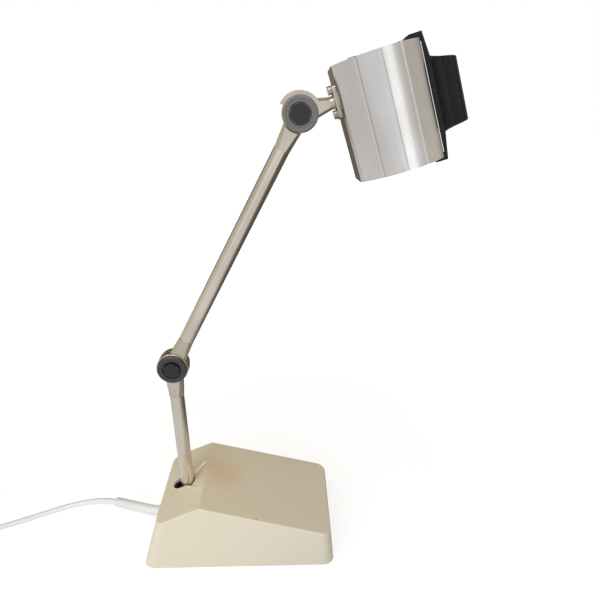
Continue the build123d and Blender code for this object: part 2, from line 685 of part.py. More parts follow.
def make_inner_wires():
    """The cord's end and the single wires between terminals, switch and transformer,
    and the low-voltage lead that rises into the lower arm."""
    block_x, block_y = TERMINAL_AT
    pitch = TERMINAL_SIZE[0] / TERMINAL_WAYS
    way_y = block_y + TERMINAL_SIZE[1] / 2 + WIRE_GAP
    way_z = PAD_T + PLATE_T + TERMINAL_SIZE[2] * 0.3
    coil_right = CORE_X + CORE_SIZE[0] / 6 + WINDOW[0]
    coil_left = CORE_X - CORE_SIZE[0] / 6 - WINDOW[0]
    tab_x = LOW_END_X - LOW_END_SETBACK - SWITCH_BODY[2] - 0.8 * SWITCH_TAB[0]
    routes = [
        (CORD_R, [CORD_EXIT, (PIVOT_X - 18.3, 9.0, 12.4), (PIVOT_X - 14.3, 18.5, 10.0),
                  (PIVOT_X - 7.3, 27.5, 7.0), (PIVOT_X + 10.7, 32.0, 6.2),
                  (-10.0, 34.0, 6.2), (20.0, 34.5, 6.2),
                  (46.0, 31.0, 6.2), (61.0, 19.0, 6.2), (66.0, 3.0, 6.2),
                  (63.0, -9.0, 6.4), (block_x + pitch, way_y, way_z)]),
        (WIRE_R, [(tab_x, -SWITCH_TAB_Y, SWITCH_Z - 2.0), (56.0, -6.5, 13.0), (52.3, -11.0, 9.5),
                  (block_x, way_y, way_z)]),
        (WIRE_R, [(tab_x, SWITCH_TAB_Y, SWITCH_Z - 2.0), (50.0, 7.0, 12.0), (36.0, 5.5, 9.5),
                  (coil_right, 4.0, 8.5)]),
        (WIRE_R, [(block_x - pitch, way_y, way_z), (41.0, -12.0, 6.5), (34.0, -6.0, 7.2),
                  (coil_right, -4.0, 8.5)]),
        (LEAD_R, [(coil_left, -3.0, 8.0), (PIVOT_X + 23.7, -2.0, 9.0),
                  (PIVOT_X + 11.7, 0.5, 8.2), (PIVOT_X + 2.6, 0.0, 8.6),
                  (PIVOT_X + 0.8, 0.0, 16.5)]),
    ]
    return Compound([round_tube(radius, points) for radius, points in routes])


# ---------------------------------------------------------------- arms and knuckles
def make_lower_arm():
    """The lower tube, with the bush that its pivot bolt passes through."""
    tube = arm_tube(-TUBE_BELOW_PIVOT, LOWER_LENGTH - STEM_END)
    bush = rod_x(TUBE_R - TUBE_WALL - FIT, -TUBE_BELOW_PIVOT, TUBE_BELOW_PIVOT)
    bush -= rod_x(BUSH_BORE_R, -TUBE_BELOW_PIVOT - 1, -PIVOT_BOLT_R - 1)
    hole = rod_y(PIVOT_BOLT_R + FIT, -FAR, FAR)
    return arm_up * (tube - hole), arm_up * (bush - hole)


def make_neck():
    """The casting from the upper knuckle to the head: the front eye, a hood over the
    rear eye that also stops the neck's travel, and a faceted stem with a round nose."""
    body = stem(NECK_STEM_END, NECK_END_WIDTH, NECK_END_WIDTH, 2.0)
    body -= other_eye_room(-1)
    body += rod_x(NECK_NOSE_R, NECK_STEM_END - 2, BACK_U - BRACKET_PLATE_T - RUN)
    body += eye(-1)
    first, last = (math.radians(a) for a in HOOD_ANGLES)
    hood = rod_y(HOOD_R, -EYE_OUTER_Y, EYE_OUTER_Y)
    hood -= rod_y(EYE_R + HOOD_GAP, -FRICTION_T / 2 - RUN, EYE_OUTER_Y)
    reach = 4 * HOOD_R
    middle = (first + last) / 2
    fan = Polygon(
        (0, 0),
        (reach * math.cos(first), reach * math.sin(first)),
        (reach * math.cos(middle), reach * math.sin(middle)),
        (reach * math.cos(last), reach * math.sin(last)),
        align=None,
    )
    body += hood & extrude(Plane.XZ * fan, FAR, both=True)
    body -= rod_y(BOLT_R + FIT, -FAR, FAR)
    body -= rod_x(SPINDLE_R + FIT, EYE_R + 4, FAR)
    return neck_frame * body


def knuckle(prefix, frame, front_body, rear_body):
    """The pieces that clamp one knuckle; front_body and rear_body are its two eyes."""
    keep(f"{prefix}_front_eye", front_body)
    keep(f"{prefix}_rear_eye", rear_body)
    keep(f"{prefix}_friction_disc", frame * friction_disc())
    keep(f"{prefix}_bolt", frame * knuckle_bolt())
    keep(f"{prefix}_nut", frame * knuckle_nut())
    keep(f"{prefix}_front_cover", frame * front_cover())
    keep(f"{prefix}_rear_cover", frame * rear_cover())


# ---------------------------------------------------------------- head
def section(inset):
    """The shell's outline moved in by inset: round sides and flat back and front."""
    outline = Circle(SHELL_R - inset)
    outline &= Rectangle(SHELL_LENGTH - 2 * inset, 2 * SHELL_R)
    return Pos(head_middle, 0) * fillet(outline.vertices(), SHELL_CORNER_R - inset)


def slab(inset, z0, z1):
    """A piece with the shell's section between two heights."""
    return Pos(0, 0, z0) * extrude(section(inset), z1 - z0)


def port_places():
    reach = SHELL_R - SHELL_WALL - PORT_R + PORT_WALL_OVERLAP
    x = reach * math.cos(math.radians(PORT_ANGLE))
    y = reach * math.sin(math.radians(PORT_ANGLE))
    return [(head_middle + sx * x, sy * y) for sx in (-1, 1) for sy in (-1, 1)]


def side_places():
    """Angles round the head's middle of the two wide channels."""
    return (90, -90)


def make_shell():
    """The extrusion: screw ports inside, two wide channels and four small grooves."""
    hollow = slab(SHELL_WALL, SHELL_BOTTOM - 1, SHELL_TOP + 1)
    blank = slab(0, SHELL_BOTTOM, SHELL_TOP)
    centre = Pos(head_middle, 0, 0)
    for angle in side_places():
        rib = box(SHELL_R - SHELL_WALL - CHANNEL_RIB, SHELL_R, -CHANNEL_WIDTH, CHANNEL_WIDTH,
                  SHELL_BOTTOM - 1, SHELL_TOP + 1)
        hollow -= centre * Rot(0, 0, angle) * rib
    shell = blank - hollow
    for x, y in port_places():
        port = Pos(x, y, 0) * rod_z(PORT_R, PORT_BOTTOM, PORT_TOP)
        shell += port & blank
        shell -= Pos(x, y, 0) * rod_z(PORT_BORE_R, PORT_BOTTOM, PORT_TOP)
    for angle in side_places():
        channel = box(SHELL_R - CHANNEL_DEPTH, SHELL_R + 1, -CHANNEL_WIDTH / 2,
                      CHANNEL_WIDTH / 2, SHELL_BOTTOM - 1, SHELL_TOP + 1)
        shell -= centre * Rot(0, 0, angle) * channel
        for turn in (-GROOVE_ANGLE, GROOVE_ANGLE):
            groove = Pos(SHELL_R, 0, 0) * Rot(0, 0, 45) * box(
                -GROOVE_SIZE / 2, GROOVE_SIZE / 2, -GROOVE_SIZE / 2, GROOVE_SIZE / 2,
                SHELL_BOTTOM - 1, SHELL_TOP + 1)
            shell -= centre * Rot(0, 0, angle + turn) * groove
    shell -= rod_x(SPINDLE_R + FIT, 0, head_middle)
    for z in (-BRACKET_SCREW_Z, BRACKET_SCREW_Z):
        shell -= Pos(0, 0, z) * rod_x(BRACKET_SCREW_R + FIT, 0, head_middle)
    for z in GRIP_SCREW_Z:
        shell -= Pos(0, 0, z) * rod_x(GRIP_SCREW_R + FIT, head_middle, FAR)
    return shell


def make_channel_clips():
    """Short strips that close the wide channels at the shell's two ends."""
    clips = []
    top, bottom = CLIP_LENGTHS
    half = CHANNEL_WIDTH / 2 - CLIP_GAP
    for angle in side_places():
        for z0, z1 in ((SHELL_TOP - top, SHELL_TOP), (SHELL_BOTTOM, SHELL_BOTTOM + bottom)):
            clip = box(SHELL_R - CHANNEL_DEPTH, SHELL_R - 0.2, -half, half, z0, z1)
            clips.append(Pos(head_middle, 0, 0) * Rot(0, 0, angle) * clip)
    return Compound(clips)


def make_head_bracket():
    """The plate on the shell's back, its screws and nuts, and the swivel spindle."""
    z0, z1 = BRACKET_PLATE_Z
    plate = box(BACK_U - BRACKET_PLATE_T, BACK_U, -BRACKET_PLATE_HALF_Y,
                BRACKET_PLATE_HALF_Y, z0, z1)
    plate = fillet(plate.edges().filter_by(Axis.X), 3.0)
    plate -= rod_x(SPINDLE_R + FIT, 0, FAR)
    screws, nuts = [], []
    seat = BACK_U - BRACKET_PLATE_T
    inside = BACK_U + SHELL_WALL
    head_r, head_t = BRACKET_SCREW_HEAD
    slot_w, slot_t = BRACKET_SCREW_SLOT
    nut_r, nut_t = BRACKET_NUT
    for z in (-BRACKET_SCREW_Z, BRACKET_SCREW_Z):
        at = Pos(0, 0, z)
        plate -= at * rod_x(BRACKET_SCREW_R + FIT, 0, FAR)
        head = rod_x(head_r, seat - head_t, seat)
        head -= box(0, seat - head_t + slot_t, -slot_w / 2, slot_w / 2, -FAR, FAR)
        screws.append(at * (head + rod_x(BRACKET_SCREW_R, seat - 1, inside + nut_t + 1)))
        nut = extrude(Plane.YZ.offset(inside) * RegularPolygon(nut_r, 6), nut_t)
        nuts.append(at * (nut - rod_x(BRACKET_SCREW_R + FIT, 0, FAR)))
    washer_r, washer_t = SWIVEL_WASHER
    washer = rod_x(washer_r, inside, inside + washer_t) - rod_x(SPINDLE_R + FIT, 0, FAR)
    head_r, head_t = SPINDLE_HEAD
    head_seat = inside + washer_t + RUN
    head = extrude(Plane.YZ.offset(head_seat) * RegularPolygon(head_r, 6), head_t)
    spindle = rod_x(SPINDLE_R, EYE_R + 4.5, head_seat + 1) + head
    return plate, Compound(screws), Compound(nuts), washer, spindle


def head_screw(z, way):
    """A pan-head screw in a port, its head's seat at z; way is +1 for a head on top."""
    z0, z1 = sorted((z, z + way * HEAD_SCREW_HEAD_T))
    shank = sorted((z + way * 0.5, z - way * HEAD_SCREW_LENGTH))
    screw = rod_z(HEAD_SCREW_HEAD_R, z0, z1) + rod_z(HEAD_SCREW_R, *shank)
    slot_top = sorted((z + way * HEAD_SCREW_HEAD_T, z + way * (HEAD_SCREW_HEAD_T - 0.6)))
    return screw - box(-4, 4, -0.35, 0.35, *slot_top)


def make_head_ends():
    """The vented cap over the lamp, the plate that carries the holder, the glass and
    the bezel below it, and the screws that hold them to the ports."""
    plate_top = PORT_TOP + HOLDER_PLATE_T
    cap = slab(SHELL_WALL + CAP_GAP, plate_top, plate_top + CAP_T)
    plate = slab(SHELL_WALL + CAP_GAP, PORT_TOP, plate_top)
    bezel = slab(SHELL_WALL + CAP_GAP, PORT_BOTTOM - BEZEL_T, PORT_BOTTOM)
    middle = Pos(head_middle, 0, 0)
    for angle in side_places():
        rib = box(SHELL_R - SHELL_WALL - CHANNEL_RIB - CAP_GAP, SHELL_R,
                  -CHANNEL_WIDTH - CAP_GAP, CHANNEL_WIDTH + CAP_GAP, -FAR, FAR)
        cap -= middle * Rot(0, 0, angle) * rib
        plate -= middle * Rot(0, 0, angle) * rib
        bezel -= middle * Rot(0, 0, angle) * rib
    for number in range(VENT_COUNT):
        x = (number - (VENT_COUNT - 1) / 2) * VENT_PITCH
        vent = Pos(x, 0, 0) * Rot(0, 0, 90) * SlotOverall(2 * VENT_HALF_LENGTH, VENT_WIDTH)
        cap -= middle * extrude(vent, FAR)
        if abs(x) > HOLDER_R:
            plate -= middle * extrude(vent, FAR)
    bezel -= middle * rod_z(BEZEL_BORE_R, -FAR, 0)
    glass = middle * rod_z(GLASS_R, PORT_BOTTOM, PORT_BOTTOM + GLASS_T)
    screws = []
    for x, y in port_places():
        hole = Pos(x, y, 0) * rod_z(HEAD_SCREW_R + FIT, -FAR, FAR)
        cap, plate, bezel = cap - hole, plate - hole, bezel - hole
        screws.append(Pos(x, y, 0) * head_screw(plate_top + CAP_T, 1))
        screws.append(Pos(x, y, 0) * head_screw(PORT_BOTTOM - BEZEL_T, -1))
    return cap, plate, bezel, glass, Compound(screws)


def make_lamp():
    """A reflector lamp: dished glass, capsule, ceramic neck, pins and their holder."""
    middle = Pos(head_middle, 0, 0)
    rim = PORT_BOTTOM + GLASS_T + 0.1
    throat = rim + LAMP_DEPTH
    profile = Polyline((LAMP_NECK_R, throat), (LAMP_NECK_R + 7, throat - 8),
                       (LAMP_RIM_R - 3, rim + 8), (LAMP_RIM_R, rim + 2.5), (LAMP_RIM_R, rim))
    outline = profile + Polyline((LAMP_RIM_R, rim), (LAMP_RIM_R - LAMP_GLASS_T, rim),
                                 (LAMP_RIM_R - LAMP_GLASS_T, rim + 2.5),
                                 (LAMP_RIM_R - 3 - LAMP_GLASS_T, rim + 8 + 0.5),
                                 (LAMP_NECK_R + 6.2 - LAMP_GLASS_T, throat - 8.5),
                                 (CAPSULE_R + 1, throat - 2.5), (CAPSULE_R + 1, throat),
                                 (LAMP_NECK_R, throat))
    reflector = revolve(Plane.XZ * make_face(outline), Axis.Z)
    neck = rod_z(LAMP_NECK_R, throat, throat + LAMP_NECK_LENGTH)
    capsule = rod_z(CAPSULE_R, throat - 12, throat) + Pos(0, 0, throat - 12) * Sphere(CAPSULE_R)
    for side in (-1, 1):
        pin = rod_z(LAMP_PIN_R, throat, throat + LAMP_NECK_LENGTH + LAMP_PIN_LENGTH)
        neck += Pos(side * LAMP_PIN_PITCH / 2, 0, 0) * pin
    foot = throat + LAMP_NECK_LENGTH + RUN
    holder = rod_z(HOLDER_R, foot, PORT_TOP)
    holder = chamfer(holder.edges().filter_by(GeomType.CIRCLE), HOLDER_CHAMFER)
    for side in (-1, 1):
        holder -= Pos(side * LAMP_PIN_PITCH / 2, 0, 0) * rod_z(
            LAMP_PIN_R + FIT, foot - 1, foot + LAMP_PIN_LENGTH + 1)
    pieces = (reflector, neck, capsule, holder)
    return [middle * piece for piece in pieces]


def make_grip():
    """The heat strip on the shell's front and the grip over it, hooked round both ends
    of the shell. The finger block is waisted, with a rounded bead along its face."""
    front = BACK_U + SHELL_LENGTH
    strip = box(front + 0.1, front + STRIP_T, -STRIP_HALF_Y, STRIP_HALF_Y, *STRIP_Z)
    back = front + STRIP_T
    low, high = GRIP_Z
    root_low, root_high = BLOCK_ROOT_Z
    face_low, face_high = BLOCK_FACE_Z
    end = back + GRIP_END_T
    root = back + GRIP_PLATE_T
    reach = front + BLOCK_REACH
    side = Polygon((back, low), (end, low), (root, root_low), (reach, face_low),
                   (reach, face_high), (root, root_high), (end, high), (back, high), align=None)
    side = fillet(side.vertices().group_by(Axis.X)[-1], BLOCK_CORNER_R)
    blank = extrude(Plane.XZ * side, GRIP_HALF_Y, both=True)
    waist = front + WAIST_REACH
    bead = waist + (reach - waist) * 0.5
    edge = ThreePointArc((root, GRIP_HALF_Y), ((root + waist) / 2 - 0.6, WAIST_HALF_Y + 1.2),
                         (waist, WAIST_HALF_Y))
    bulge = Spline((waist, WAIST_HALF_Y), (bead, BEAD_HALF_Y), (reach, 0),
                   tangents=((1, 0.5), (0, -1)))
    half = Polyline((reach, 0), (back - 1, 0), (back - 1, GRIP_HALF_Y), (root, GRIP_HALF_Y))
    face = make_face(half + edge + bulge)
    plan = extrude(face + mirror(face, Plane.XZ), FAR, both=True)
    grip = blank & plan
    over_low, over_high = GRIP_LIP_REACH
    grip += box(front - over_high, back + 0.5, -GRIP_HALF_Y, GRIP_HALF_Y, SHELL_TOP + 0.1, high)
    grip += box(front - over_low, back + 0.5, -GRIP_HALF_Y, GRIP_HALF_Y, low, SHELL_BOTTOM - 0.1)
    wide, deep = GRIP_CAVITY
    grip -= box(back - 1, back + deep, -wide, wide,
                root_low + GRIP_CAVITY_END, root_high - GRIP_CAVITY_END)
    screws = []
    inside = front - SHELL_WALL
    head_r, head_t = GRIP_SCREW_HEAD
    for z in GRIP_SCREW_Z:
        at = Pos(0, 0, z)
        strip -= at * rod_x(GRIP_SCREW_R + FIT, 0, FAR)
        grip -= at * rod_x(GRIP_SCREW_R + FIT, 0, back + GRIP_SCREW_DEPTH + RUN)
        screw = rod_x(head_r, inside - head_t, inside)
        screw += rod_x(GRIP_SCREW_R, inside - 1, back + GRIP_SCREW_DEPTH)
        screws.append(at * (screw - box(0, inside - head_t + 0.5, -0.4, 0.4, -FAR, FAR)))
    return strip, grip, Compound(screws)


# ---------------------------------------------------------------- mains cord
def make_sleeve():
    """The strain relief: a flange inside the housing and a sleeve that bends away."""
    path = make_sleeve_path()
    start = Plane(origin=path @ 0, z_dir=path % 0)
    sleeve = sweep(start * Circle(SLEEVE_R[1]), path=path)
    neck = rod_x(SLEEVE_R[0], HIGH_END_X - CORD_EXIT[0], 0)
    flange = rod_x(SLEEVE_FLANGE_R, -SLEEVE_FLANGE_T, 0)
    return sleeve + Pos(*CORD_EXIT) * (neck + flange)


def make_coil():
    """The outer form of the cord's stored coil, one ring on the table."""
    reach = COIL_TURNS_ACROSS * CORD_R
    height = 2 * CORD_R * COIL_LAYERS
    ring = rod_z(COIL_MID_R + reach, 0, height) - rod_z(COIL_MID_R - reach, -1, height + 1)
    return Pos(*COIL_CENTRE, 0) * ring


def make_plug():
    """A flat two-pin plug, lying down, its pins pointing to the back."""
    x, y, z = CORD_TAIL[-1]
    across, along, thick = PLUG_SIZE
    body = box(-across / 2, across / 2, PLUG_BOOT_LENGTH - 1, along, -thick / 2, thick / 2)
    body = fillet(body.edges().filter_by(Axis.Y), PLUG_CORNER_R)
    boot = rod_y(PLUG_BOOT_R, 0, PLUG_BOOT_LENGTH)
    pin = rod_y(PLUG_PIN_R, along, along + PLUG_PIN_LENGTH)
    pins = [Pos(side * PLUG_PIN_PITCH / 2, 0, 0) * pin for side in (-1, 1)]
    place = Pos(x, y, z)
    return place * (body + boot), place * Compound(pins)


head_middle = BACK_U + SHELL_LENGTH / 2
switch_frame = make_switch_frame()

# ---------------------------------------------------------------- write the nodes
keep("base_housing", make_housing())
keep("base_plate", make_plate())
keep("base_pad", make_pad())
keep("plate_screws", make_plate_screws())
core, coil, spacers, core_bolts = make_transformer()
keep("transformer_core", core)
keep("transformer_coil", coil)
keep("transformer_spacers", spacers)
keep("transformer_bolts", core_bolts)
terminal_block, terminal_screws = make_terminals()
keep("terminal_block", terminal_block)
keep("terminal_screws", terminal_screws)
switch_body, switch_tabs, rocker = make_switch()
keep("switch_body", switch_body)
keep("switch_tabs", switch_tabs)
keep("switch_rocker", rocker)
arm_bracket, bracket_rivets, pivot_bolt, pivot_nut, pivot_washers = make_arm_bracket()
keep("arm_bracket", arm_bracket)
keep("bracket_rivets", bracket_rivets)
keep("pivot_bolt", pivot_bolt)
keep("pivot_nut", pivot_nut)
keep("pivot_washers", pivot_washers)

keep("inner_wires", make_inner_wires())

lower_tube, pivot_bush = make_lower_arm()
keep("lower_tube", lower_tube)
keep("pivot_bush", pivot_bush)
knuckle("elbow", lower_eye_frame, lower_eye_frame * tube_end(-1), arm_along * tube_end(1))
keep("upper_tube", arm_along * arm_tube(STEM_END, UPPER_LENGTH - STEM_END))
knuckle("wrist", neck_frame, make_neck(), upper_eye_frame * tube_end(1))

keep("head_shell", head_frame * make_shell())
keep("channel_clips", head_frame * make_channel_clips())
plate, plate_bolts, plate_nuts, swivel_washer, spindle = make_head_bracket()
keep("head_bracket", head_frame * plate)
keep("head_bracket_screws", head_frame * plate_bolts)
keep("head_bracket_nuts", head_frame * plate_nuts)
keep("swivel_washer", head_frame * swivel_washer)
keep("swivel_spindle", neck_frame * spindle)
cap, holder_plate, bezel, glass, head_screws = make_head_ends()
keep("vent_cap", head_frame * cap)
keep("holder_plate", head_frame * holder_plate)
keep("lamp_bezel", head_frame * bezel)
keep("cover_glass", head_frame * glass)
keep("head_screws", head_frame * head_screws)
for name, piece in zip(
    ("lamp_reflector", "lamp_base", "lamp_capsule", "lamp_holder"), make_lamp()
):
    keep(name, head_frame * piece)
strip, grip, grip_screws = make_grip()
keep("heat_strip", head_frame * strip)
keep("head_grip", head_frame * grip)
keep("grip_screws", head_frame * grip_screws)

keep("cord_sleeve", make_sleeve())
keep("mains_cord", Compound([cord_tube(CORD_ROUTE), cord_tube(CORD_TAIL)]))
keep("cord_coil", make_coil())
plug, plug_pins = make_plug()
keep("plug_body", plug)
keep("plug_pins", plug_pins)
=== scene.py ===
"""A jointed low-voltage desk lamp: a cream wedge base, two nickel tubes with lap knuckles
and a satin aluminium head with a black grip. Sizes are in metres, unless a comment says
otherwise."""

import json
import math

import bmesh
import bpy
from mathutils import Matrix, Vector


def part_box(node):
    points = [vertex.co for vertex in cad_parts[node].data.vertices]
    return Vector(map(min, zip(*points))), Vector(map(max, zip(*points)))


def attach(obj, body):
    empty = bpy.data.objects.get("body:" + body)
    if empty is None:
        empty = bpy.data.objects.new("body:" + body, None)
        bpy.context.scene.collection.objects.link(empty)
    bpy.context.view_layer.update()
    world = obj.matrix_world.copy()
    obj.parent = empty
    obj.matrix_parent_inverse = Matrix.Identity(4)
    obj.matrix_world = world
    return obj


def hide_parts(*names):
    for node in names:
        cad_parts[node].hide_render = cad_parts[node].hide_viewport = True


MM = 0.001

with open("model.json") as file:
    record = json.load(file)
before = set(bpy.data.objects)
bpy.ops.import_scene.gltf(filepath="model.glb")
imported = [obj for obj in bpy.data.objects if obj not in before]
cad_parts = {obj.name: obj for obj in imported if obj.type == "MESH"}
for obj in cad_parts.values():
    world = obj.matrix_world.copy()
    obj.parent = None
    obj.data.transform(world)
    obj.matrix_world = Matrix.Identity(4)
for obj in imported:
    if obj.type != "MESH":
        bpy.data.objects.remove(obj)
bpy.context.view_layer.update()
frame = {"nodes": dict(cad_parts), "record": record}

# ---------------------------------------------------------------- studio values
CAMERA_PLACE = (0.04517, -0.38984, 0.39332)
CAMERA_TURN = (67.85, 0, -1.45)      # degrees
CAMERA_LENS = 31.46                  # mm
CAMERA_SENSOR = 36                   # mm

FLOOR_PAPER = (0.38, 0.385, 0.40, 1)
FLOOR_GLOW = 0.76
FLOOR_SPREAD = (0.2, 0.7)            # where the glow grows to full white
FLOOR_FADE = (-0.12, 0.2)            # where the mirrored floor turns from bright to dim
FLOOR_FADE_WAY = (0.75, 0.66, 0)
FLOOR_BRIGHT = (0.72, 0.71, 0.70, 1)
FLOOR_DIM = (0.13, 0.105, 0.08, 1)

ROOM_FRONT = (0.84, 0.87, 0.90, 1)
ROOM_LEFT = (0.66, 0.57, 0.46, 1)
ROOM_RIGHT = (0.60, 0.57, 0.51, 1)
ROOM_BACK = (0.20, 0.175, 0.15, 1)
ROOM_ABOVE = (0.34, 0.30, 0.25, 1)

WHITE = (1, 1, 1, 1)

# ---------------------------------------------------------------- how pieces are softened
SHARP_ANGLE = 30                     # degrees between faces of an edge that is rounded
SMOOTH_ANGLE = 35                    # degrees below which faces shade as one
FLAT_ANGLE = 0.4                     # degrees between triangles of one flat face
MERGE_GAP = 0.002 * MM
SOFT_STEPS = 2                       # faces across a rounded edge


# ---------------------------------------------------------------- handling of objects
def choose(piece):
    """Makes this piece the only one selected, and the active one."""
    bpy.ops.object.select_all(action="DESELECT")
    piece.select_set(True)
    bpy.context.view_layer.objects.active = piece


def rename(name):
    """Names the object that an operator has just added, and its data."""
    piece = bpy.context.active_object
    piece.name = name
    piece.data.name = name
    return piece


def settle(piece):
    """Puts the piece's place, turn and size into its mesh."""
    choose(piece)
    bpy.ops.object.transform_apply(location=True, rotation=True, scale=True)


def pick(piece, test):
    """Opens the piece for editing with only the faces that pass the test selected."""
    choose(piece)
    bpy.ops.object.mode_set(mode="EDIT")
    bpy.ops.mesh.select_mode(type="FACE")
    bpy.ops.mesh.select_all(action="DESELECT")
    mesh = bmesh.from_edit_mesh(piece.data)
    for face in mesh.faces:
        if test(face):
            face.select_set(True)
    bmesh.update_edit_mesh(piece.data)


def close():
    """Leaves edit mode."""
    bpy.ops.object.mode_set(mode="OBJECT")


def round_edges(piece, width):
    """Rounds the piece's sharp edges."""
    choose(piece)
    bevel = piece.modifiers.new("round_edges", "BEVEL")
    bevel.width = width
    bevel.segments = SOFT_STEPS
    bevel.limit_method = "ANGLE"
    bevel.angle_limit = math.radians(SHARP_ANGLE)
    bevel.use_clamp_overlap = True
    bevel.miter_outer = "MITER_ARC"
    bpy.ops.object.modifier_apply(modifier=bevel.name)


def smooth(piece, angle=SMOOTH_ANGLE):
    """Shades the faces that meet at less than the angle, in degrees, as one."""
    choose(piece)
    bpy.ops.object.shade_smooth_by_angle(angle=math.radians(angle))


def even_out(piece):
    """Keeps large flat and round faces true beside small rounded edges."""
    choose(piece)
    weights = piece.modifiers.new("even_shading", "WEIGHTED_NORMAL")
    weights.keep_sharp = True
    bpy.ops.object.modifier_apply(modifier=weights.name)


def paint(piece, material):
    """Gives the whole piece one material."""
    piece.data.materials.clear()
    piece.data.materials.append(material)


def body_of(node):
    """The CAD body that a node belongs to."""
    for body, nodes in frame["record"]["behaviour"]["bodies"].items():
        if node in nodes:
            return body
    return None


def slot_of(node):
    """The record's material slot of a node."""
    for part in frame["record"]["subparts"]:
        if part["node"] == node:
            return part["material_slot"]
    return None


def stands_for(piece, node, finish=None):
    """The piece takes the node's place and body, and the finish of the node's slot unless it has
    one of its own."""
    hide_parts(node)
    paint(piece, FINISHES[finish or slot_of(node)])
    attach(piece, body_of(node))


# ---------------------------------------------------------------- camera, floor, light
def make_camera():
    """The viewing angle: from the front, a little above the head, looking down."""
    data = bpy.data.cameras.new("camera")
    data.sensor_width = CAMERA_SENSOR
    data.lens = CAMERA_LENS
    data.clip_start = 0.01
    camera = bpy.data.objects.new("camera", data)
    bpy.context.scene.collection.objects.link(camera)
    camera.location = CAMERA_PLACE
    camera.rotation_euler = [math.radians(turn) for turn in CAMERA_TURN]
    bpy.context.scene.camera = camera


def ramp(tree, value, low, high, first=0.0, last=1.0, kind="SMOOTHSTEP"):
    """Runs from first to last while the value runs from low to high, and stops there."""
    span = tree.nodes.new("ShaderNodeMapRange")
    span.interpolation_type = kind
    for name, number in (("From Min", low), ("From Max", high), ("To Min", first),
                         ("To Max", last)):
        span.inputs[name].default_value = number
    tree.links.new(value, span.inputs["Value"])
    return span.outputs["Result"]


def seen_and_mirrored(tree, seen, mirrored):
    """One shader for what the lens sees directly, and one for every other ray."""
    path = tree.nodes.new("ShaderNodeLightPath")
    both = tree.nodes.new("ShaderNodeMixShader")
    tree.links.new(path.outputs["Is Camera Ray"], both.inputs["Fac"])
    tree.links.new(mirrored.outputs[0], both.inputs[1])
    tree.links.new(seen.outputs[0], both.inputs[2])
    return both.outputs[0]


def make_floor():
    """A paper floor, pale to the lens. Shiny faces mirror it bright at the front left and
    dim behind and at the right."""
    bpy.ops.mesh.primitive_plane_add(size=8, location=(0, 0, 0))
    floor = rename("floor")
    material, tree, shader = new_material("floor_paper")
    where = tree.nodes.new("ShaderNodeTexCoord")
    far = tree.nodes.new("ShaderNodeVectorMath")
    far.operation = "LENGTH"
    tree.links.new(where.outputs["Object"], far.inputs[0])
    glow = ramp(tree, far.outputs["Value"], *FLOOR_SPREAD, FLOOR_GLOW, 1.0)
    tree.links.new(glow, shader.inputs["Emission Strength"])
    shader.inputs["Base Color"].default_value = FLOOR_PAPER
    shader.inputs["Emission Color"].default_value = WHITE
    shader.inputs["Roughness"].default_value = 0.9
    shader.inputs["Specular IOR Level"].default_value = 0.0
    across = tree.nodes.new("ShaderNodeVectorMath")
    across.operation = "DOT_PRODUCT"
    across.inputs[1].default_value = FLOOR_FADE_WAY
    tree.links.new(where.outputs["Object"], across.inputs[0])
    shade = ramp(tree, across.outputs["Value"], *FLOOR_FADE)
    mirrored = tree.nodes.new("ShaderNodeEmission")
    tree.links.new(blend_colours(tree, shade, FLOOR_BRIGHT, FLOOR_DIM), mirrored.inputs["Color"])
    tree.links.new(seen_and_mirrored(tree, shader, mirrored),
                   tree.nodes["Material Output"].inputs["Surface"])
    paint(floor, material)


def softbox(name, place, aim, size, power, colour, shines=True, lights=True):
    """A rectangular studio light at a place, turned towards a point. It can be left out
    of what shiny faces mirror, or of what lights the rest."""
    data = bpy.data.lights.new(name, "AREA")
    data.shape = "RECTANGLE"
    data.size, data.size_y = size
    data.energy = power
    data.color = colour
    light = bpy.data.objects.new(name, data)
    bpy.context.scene.collection.objects.link(light)
    light.location = place
    direction = Vector(aim) - Vector(place)
    light.rotation_mode = "QUATERNION"
    light.rotation_quaternion = direction.to_track_quat("-Z", "Y")
    light.visible_glossy = shines
    light.visible_diffuse = lights


def make_room():
    """A room that is cool and bright in front, tan at the sides, dim behind and warm
    above, and white to the lens."""
    world = bpy.data.worlds.new("studio")
    bpy.context.scene.world = world
    world.use_nodes = True
    tree = world.node_tree
    tree.nodes.clear()
    where = tree.nodes.new("ShaderNodeTexCoord")
    axes = tree.nodes.new("ShaderNodeSeparateXYZ")
    tree.links.new(where.outputs["Generated"], axes.inputs[0])
    x, y, z = axes.outputs
    colour = blend_colours(tree, ramp(tree, x, -0.4, 0.4), ROOM_LEFT, ROOM_RIGHT)
    colour = blend_colours(tree, ramp(tree, y, 0.1, 0.8), colour, ROOM_BACK)
    colour = blend_colours(tree, ramp(tree, y, -0.85, -0.45, 1.0, 0.0), colour, ROOM_FRONT)
    colour = blend_colours(tree, ramp(tree, z, 0.35, 0.9), colour, ROOM_ABOVE)
    room = tree.nodes.new("ShaderNodeBackground")
    tree.links.new(colour, room.inputs["Color"])
    backdrop = tree.nodes.new("ShaderNodeBackground")
    backdrop.inputs["Color"].default_value = WHITE
    out = tree.nodes.new("ShaderNodeOutputWorld")
    tree.links.new(seen_and_mirrored(tree, backdrop, room), out.inputs["Surface"])


